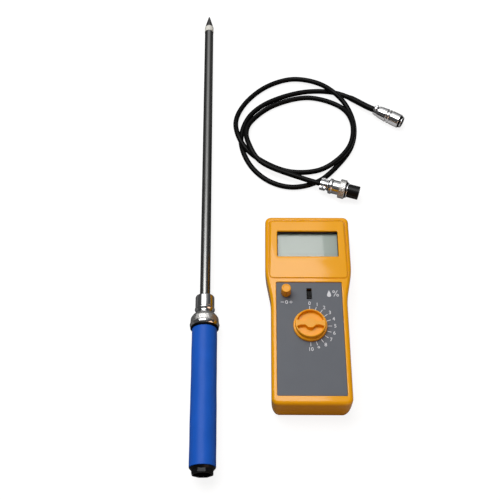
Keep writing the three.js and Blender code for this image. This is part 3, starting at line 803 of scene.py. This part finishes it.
def finger_recess(side):
    """One of the dial's two pockets: an arc outside, the bar's wavy edge inside."""
    def outline(inset):
        reach = 10.3 - inset
        points = []
        start = math.radians(14)
        for k in range(49):
            a = start + (math.pi - 2 * start) * k / 48
            points.append((reach * math.cos(a), reach * math.sin(a)))
        edge = reach * math.cos(start) - 0.4
        for k in range(1, 40):
            x = -edge + 2 * edge * k / 40
            boss = 2.3 * math.exp(-((x / 3.1) ** 4)) + 1.7
            foot = 0.9 * math.exp(-(((abs(x) - edge) / 1.3) ** 2))
            points.append((x, boss + foot + inset))
        return [(DIAL_AT[0] + x, DIAL_AT[1] + side * y) for x, y in points]
    return outline


pocket_levels = [(0.5, DIAL_BASE + 2.6), (0.1, DIAL_BASE + 3), (0, DIAL_TOP - 0.5),
                 (-0.12, DIAL_TOP - 0.15), (-0.45, DIAL_TOP), (-0.45, DIAL_TOP + 3)]
dial = stack("range_knob", circle(*DIAL_AT, 13),
             [(0.1, DIAL_BASE), (0, DIAL_BASE + 0.2), (0.15, DIAL_BASE + 1.7),
              (0.55, DIAL_BASE + 2.2)])
join(
    dial, stack("disc", circle(*DIAL_AT, 11.6), [(0, DIAL_BASE + 1), (0, DIAL_BASE + 2.2)]
                + quarter(0.7, DIAL_TOP, 0.1, 5)),
    stack("shaft", circle(*DIAL_AT, 3, 48), [(0, 18.6), (0, DIAL_BASE + 1)]),
)
cut(dial, stack("cutter", finger_recess(1), pocket_levels),
    stack("cutter", finger_recess(-1), pocket_levels), block((-2, 2), (-18.6, -17.4), (17, 21)))
smooth(dial)
dress(dial, "range_dial", "case_orange", DIAL_ORANGE, "range_dial")


def fluted(inset):
    """The zero knob's outline, with round flutes."""
    points = []
    for k in range(240):
        a = TAU * k / 240
        flute = max(0.0, math.cos(12 * a)) ** 1.3
        r = 3.9 - inset - 0.45 * flute
        points.append((KNOB_AT[0] + r * math.cos(a), KNOB_AT[1] + r * math.sin(a)))
    return points


zero = stack("zero_knob_cap", fluted, [(0.1, DIAL_BASE), (0, DIAL_BASE + 0.3), (0.25, 32.9),
                                       (0.4, 33.4)])
join(
    zero,
    stack("crown", circle(*KNOB_AT, 3.62),
          [(0.35, 32.8), (0.1, 33.5)] + quarter(0.5, KNOB_TOP, 0, 5)),
    stack("shaft", circle(*KNOB_AT, 1.5, 32), [(0, 19.2), (0, DIAL_BASE + 1)]),
)
cut(zero, stack("cutter", circle(*KNOB_AT, 2.7), [(0.25, KNOB_TOP - 0.3), (-0.1, KNOB_TOP + 0.1),
                                                  (-0.1, KNOB_TOP + 2)]))
smooth(zero)
dress(zero, "zero_knob", "case_orange", DIAL_ORANGE, "zero_knob")

slot = oblong(SWITCH_HALF - 0.02, SWITCH_LOW + 0.02, SWITCH_HIGH - 0.02, 0.1)
# A thin black lining round the switch slot's walls: painted shade in the slot opening.
painted_shade_liner = stack("switch_painted_shade_liner", slot, [(0, 24.4), (0, PANEL_TOP)])
cut(painted_shade_liner, stack("cutter", slot, [(0.2, 24), (0.2, 27)]))
dress(painted_shade_liner, "meter", "black_plastic", BLACK)

nub = stack("power_nub", oblong(1.75, 5.0, 10.6, 0.4), [(0, 22.9), (0, 26.9), (0.25, 27.2)])
cut(nub, *[stack("cutter", oblong(3, 5.75 + 1.1 * i, 6.35 + 1.1 * i, 0.2),
                 [(0.15, 26.5), (-0.1, 27.3)]) for i in range(4)])
smooth(nub)
dress(nub, "power_slider", "black_plastic", BLACK, "power_slider")


# ---- display -------------------------------------------------------------------------

# A thin black lining on the lower part of the display window's walls: painted shade, where the
# orange walls only lie in shadow.
painted_shade_lining = stack("display_painted_shade_lining", oblong(24.25, 41.65, 64.95, 0.8), [(0, 24.75), (0, 26.6)])
cut(painted_shade_lining, stack("cutter", oblong(23.95, 41.95, 64.65, 0.6), [(0, 24), (0, 28)]))
dress(painted_shade_lining, "meter", "black_plastic", BLACK)


# ---- turned metal --------------------------------------------------------------------

def knurling(low, high, around, pitch, depth):
    """A diamond knurl between two stations, faded at its ends."""
    def relief(angle, y, radius):
        if not low < y < high:
            return 0
        fade = min(1, (y - low) / 0.4, (high - y) / 0.4)
        left = abs(math.sin(around * angle / 2 + math.pi * y / pitch))
        right = abs(math.sin(around * angle / 2 - math.pi * y / pitch))
        return -depth * fade * (1 - min(left, right) ** 0.8)
    return relief


socket_place = Matrix.Translation((0, END * MM, SOCKET_Z * MM))
socket = lathe("panel_socket", [(5.2, -9), (6, -9), (6, 0.3), (7.2, 0.3), (7.2, 2.3), (6.6, 3),
                                (5.2, 3)], socket_place)
dress(socket, "meter", "chrome", CHROME, "meter_socket_shell")

probe_place = (Matrix.Translation((-0.0783, -0.1275, 0.0144)) @ rotation(1.43, "Z")
               @ rotation(-1.29, "X"))

GRIP_LOW, GRIP_HIGH, GRIP_R, GRIP_BORE = 5.2, 112.45, 9.85, 8.2
NUT_GRIP = (116.8, 125.9)


def sleeve_relief(angle, y, radius):
    """The sleeve's slow waves, on its outside only."""
    if radius < 9:
        return 0
    wave = 0.05 * math.sin(y / 9 + 2 * angle) + 0.04 * math.sin(y / 4.3 - 3 * angle + 1)
    return wave - 0.09


grip = lathe("sleeve_grip", [(GRIP_BORE, GRIP_LOW), (GRIP_R, GRIP_LOW), (GRIP_R, GRIP_HIGH),
                             (GRIP_BORE, GRIP_HIGH)], probe_place, 112, 0.35, sleeve_relief,
             (GRIP_LOW + 0.3, GRIP_HIGH - 0.3, 1.5))
dress(grip, "probe", "grip_blue", BLUE, "handle_grip")

bead = [(10.1 + 1.05 * math.cos(TAU * k / 24), 113.35 + 0.72 * math.sin(TAU * k / 24))
        for k in range(24)]
dress(lathe("o_ring", bead, probe_place, 96, 0), "probe", "cable_black", RUBBER, "grip_o_ring")

nut_profile = [(8.35, 114.6), (10.2, 114.6), (10.3, 114.2), (10.7, 114.15), (11.45, 115.2),
               (11.6, 116), (11.6, 116.4), (11.3, 116.9), (10.9, 121.6), (9.3, 124),
               (7.5, 125.8), (6.5, 126.4), (6.5, 119), (8.35, 119)]
nut = lathe("nut", nut_profile, probe_place, 240, 0.25,
            knurling(117, 122.6, 72, 1.05, 0.24), (116.8, 122.8, 0.22))
dress(nut, "probe_nut", "chrome", CHROME, "coupling_nut")
nut.data.materials.append(KNURL)
to_probe = probe_place.inverted()
for face in nut.data.polygons:
    if NUT_GRIP[0] < (to_probe @ face.center).y / MM < NUT_GRIP[1]:
        face.material_index = 1

collar_profile = [
    (4.4, 100), (6.8, 100), (6.8, 117.5), (6.2, 117.5), (6.2, 126.9), (6.8, 127.1),
    (6.8, 127.8), (7.8, 128.9), (8, 129.5), (7.8, 130.3), (7.1, 130.5), (7.1, 130.8),
    (7.5, 131.1), (7.5, 140.2), (7, 141), (5.6, 141.6), (4.4, 141.8)]
dress(lathe("collar", collar_profile, probe_place, 128, 0.3), "probe", "chrome", CHROME,
      "probe_collar")
rod = lathe("rod", [(2.9, 100), (4.1, 100), (4.1, 438.3), (2.9, 438.3)], probe_place, 96, 0.15)
dress(rod, "probe", "steel", STEEL, "probe_rod")
ring_profile = [(1.7, 428), (2.6, 428), (2.6, 438.6), (4.35, 438.6), (4.35, 445), (1.7, 445)]
dress(lathe("tip_ring", ring_profile, probe_place, 96, 0.3), "probe", "white_plastic", WHITE,
      "tip_insulator")
tip_profile = [(0, 424.3), (1.4, 424.3), (1.4, 445.3), (4, 445.3), (4, 446), (0.6, 460.3),
               (0.25, 460.9), (0, 461)]
dress(lathe("tip_cone", tip_profile, probe_place, 96, 0.2), "probe", "steel", POINT, "probe_tip")


def octagon(inset):
    """The end fitting's outline, flat side up, with softened corners."""
    corner = 8.45 - inset / math.cos(math.pi / 8)
    angles = [(k + 0.5) * math.pi / 4 for k in range(8)]
    return rounded([(corner * math.cos(a), corner * math.sin(a), 0.7) for a in angles], 4)


fitting = stack("end_socket", octagon, [(0.8, 0.05), (0.3, 0.25), (0.1, 0.8), (0.1, 3.3)])
fitting.data.transform(rotation(-90, "X"))
join(fitting, lathe("spigot", [(0, 3.2), (8, 3.2), (9.5, 4.8), (6.8, 4.8), (6.8, 16), (0, 16)],
                    fillet=0.15))
cut(fitting, lathe("cutter", [(0, -1), (6.5, -1), (6.5, 0), (6.1, 0.5), (6.1, 14.4), (0, 14.4)],
                   fillet=0))
smooth(fitting)
fitting.matrix_world = probe_place
dress(fitting, "probe", "black_plastic", BLACK, "end_fitting")


# ---- plugs ---------------------------------------------------------------------------

def plug_place(at, heading):
    """A plug's own frame: its Y runs from the cable end to the mouth."""
    return Matrix.Translation([v * MM for v in at]) @ rotation(heading - 90, "Z")


socket_plug = plug_place((67.3, 210.5, 6.4), -32.5)
SOCKET_ROLL = rotation(-80, "Y")
ring_plug = plug_place((13.1, 125.9, 8.4), -17.3)
SOCKET_BORE, SOCKET_CLAMP = 3.15, (0.6, 3.8)
RING_BORE, RING_CLAMP = 2.75, (1.2, 6.6)
CLAMP_REACH, CLAMP_SCREW = 2.6, 1.6
NOSE_END = 35.5


def dress_lead(obj, skin, slot, *nodes):
    """Dresses a piece that moves with the lead."""
    return dress(obj, "lead", slot, skin, *nodes)


def clamp_half(name, span, bore, thick, heights, ear_heights, past=0.0):
    """Half of a cable clamp: a bent strap with a foot on each side."""
    low, high = span
    strap = lathe(name, [(bore, low), (bore + thick, low), (bore + thick, high + past),
                         (bore, high + past)], fillet=0.3, sides=64)
    combine(strap, [block((-9, 9), (low - 1, high + 2), heights)], "INTERSECT")
    near, far = bore + 0.3, bore + CLAMP_REACH
    ears = [stack("ear", lambda inset, side=side: rounded(
        [(near * side, low + 0.1, 0.3), (far * side, low + 0.1, 0.9),
         (far * side, high - 0.1, 0.9), (near * side, high - 0.1, 0.3)],
        6), [(0, z) for z in ear_heights]) for side in (1, -1)]
    join(strap, *ears)
    middle = (low + high) / 2
    return cut(strap, *[stack("cutter", circle((bore + CLAMP_SCREW) * side, middle, 0.75, 24),
                              [(0, -9), (0, 9)]) for side in (1, -1)])


def cradle(span, bore):
    """The lower half of the clamp, part of the plug's shell."""
    return clamp_half("cradle", span, bore, 1.25, (-9, 0), (-1.7, 0), 0.5)


def screw(name, x, middle):
    """A slotted dome-head screw."""
    body = stack(name, circle(x, middle, 0.95, 40),
                 [(0.45, -2.6), (0.45, 1.9), (0, 1.9), (0, 2.4)] + quarter(0.55, 3, 0, 6)[1:])
    return cut(body, block((-9, 9), (middle - 0.2, middle + 0.2), (2.6, 9)))


def add_clamp(plug, span, bore, place):
    """The half of the clamp over the cable, with its two screws."""
    middle = (span[0] + span[1]) / 2
    strap = clamp_half(f"{plug}_strap", span, bore, 1.05, (0.4, 9), (0.4, 1.6))
    pieces = [(strap, "chrome", f"{plug}_clamp")]
    for number, side in ((1, -1), (2, 1)):
        bolt = screw(f"{plug}_bolt_{number}", (bore + CLAMP_SCREW) * side, middle)
        pieces.append((bolt, "steel", f"{plug}_screw_{number}"))
    for piece, slot_name, node in pieces:
        smooth(piece)
        piece.matrix_world = place
        dress_lead(piece, CHROME, slot_name, node)
    return [piece for piece, _, _ in pieces]


shell = lathe("socket_plug_body", [
    (SOCKET_BORE, 3.9), (4.6, 3.9), (5, 4.7), (5.5, 7.4), (5.8, 11.5), (6.1, 12.1), (6.15, 13.4),
    (5.3, 13.9), (5.3, 16.9), (4.6, 16.9), (4.6, 12), (SOCKET_BORE, 10)], fillet=0.3)
lower = cradle(SOCKET_CLAMP, SOCKET_BORE)
lower.data.transform(SOCKET_ROLL)
join(shell, lower)
smooth(shell)
shell.matrix_world = socket_plug
on_socket_plug = [dress_lead(shell, CHROME, "chrome", "socket_plug_shell")]
turn_sleeve = lathe("socket_plug_turn_ring", [
    (5.7, 14.9), (5.9, 14.9), (6.2, 15.2), (6.2, 16.1), (5.85, 16.4), (5.6, 17.1), (6.1, 17.4),
    (6.25, 17.8), (6.25, 26), (6, 26.4), (5.2, 26.4), (5.2, 17.2), (5.7, 17.2)], socket_plug)
dress(turn_sleeve, "socket_plug_sleeve", "chrome", CHROME, "socket_plug_sleeve")
nose = lathe("socket_plug_mouth", [
    (3.9, 17.3), (4.6, 17.3), (4.6, 27.8), (5.05, 28), (5.05, 28.6), (4.8, 28.85), (3.9, 28.85)],
    socket_plug)
on_socket_plug.append(dress_lead(nose, CHROME, "chrome", "socket_plug_nose"))
seal = lathe("socket_plug_gasket", [(4.85, 26.6), (5.5, 26.6), (5.5, 27.6), (4.85, 27.6)],
             socket_plug)
on_socket_plug.append(dress_lead(seal, RUBBER, "cable_black", "socket_plug_seal"))
on_socket_plug += add_clamp("socket_plug", SOCKET_CLAMP, SOCKET_BORE, socket_plug @ SOCKET_ROLL)

shell = lathe("ring_plug_body", [
    (RING_BORE, 6.9), (4.4, 6.9), (4.6, 8.4), (6.7, 9.4), (6.7, 11.4), (6, 12.2), (6, 24.8),
    (6.4, 24.8), (6.4, 25.7), (5, 25.7), (5, 13), (RING_BORE, 11)], fillet=0.4)
join(shell, cradle(RING_CLAMP, RING_BORE))
smooth(shell)
shell.matrix_world = ring_plug
on_ring_plug = [dress_lead(shell, CHROME, "chrome", "ring_plug_shell")]
knurled = lathe("ring_plug_turn_ring", [
    (6.3, 18.1), (7.9, 18.1), (8.3, 18.6), (8.3, 23.1), (7.9, 23.6), (6.3, 23.6)], ring_plug,
    240, 0.15, knurling(18.5, 23.2, 60, 0.9, 0.22), (18.5, 23.2, 0.2))
dress(knurled, "ring_plug_ring", "chrome", KNURL, "ring_plug_ring")
seal = lathe("ring_plug_gasket", [(6.25, 23.8), (7, 23.8), (7, 24.6), (6.25, 24.6)], ring_plug)
on_ring_plug.append(dress_lead(seal, RUBBER, "cable_black", "ring_plug_seal"))
on_ring_plug += add_clamp("ring_plug", RING_CLAMP, RING_BORE, ring_plug)


def key_relief(angle, y, radius):
    """The black nose's keyway."""
    if radius < 5 or y < 26:
        return 0
    return -0.5 if abs(angle - math.pi / 2) < 0.16 else 0


def contact_holes(face, radius, aside):
    """Cutters for four round holes in a square, aside from the axis by so much each way."""
    return [lathe("cutter", [(0, face - 3), (radius, face - 3), (radius, face + 1), (0, face + 1)],
                  Matrix.Translation((i * aside * MM, 0, k * aside * MM)), 20, 0)
            for i, k in ((1, 1), (-1, 1), (-1, -1), (1, -1))]


black_nose = lathe("ring_plug_nose", [
    (0, 14), (4.6, 14), (4.6, 26), (5.85, 26), (5.85, NOSE_END), (0, NOSE_END)], fillet=0.3,
    relief=key_relief)
cut(black_nose, *contact_holes(NOSE_END, 0.75, 2.6 / 1.414))
smooth(black_nose)
black_nose.matrix_world = ring_plug
on_ring_plug.append(dress_lead(black_nose, BLACK, "black_plastic", "ring_plug_insert"))


# ---- carried-over CAD nodes ----------------------------------------------------------

KEPT = {
    PANE: ["display_window"],
    LCD: ["lcd_glass"],
    BLACK: ["lcd_frame", "power_switch_body", "battery_snap", "meter_socket_insert",
            "probe_socket_insert", "socket_plug_insert"],
    BOARD_GREEN: ["circuit_board", "probe_board"],
    TRIMMER: ["zero_potentiometer"],
    BATTERY: ["battery"],
    STEEL: ["range_potentiometer", "handle_tube", "case_screw_1", "case_screw_2", "case_screw_3",
            "case_screw_4"],
    CHROME: ["meter_socket_nut"],
    BRASS: ["centre_conductor"],
}
for skin, names in KEPT.items():
    for name in names:
        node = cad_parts[name]
        node.data.materials.clear()
        node.data.materials.append(skin)
        for item in node.material_slots:
            item.material = skin
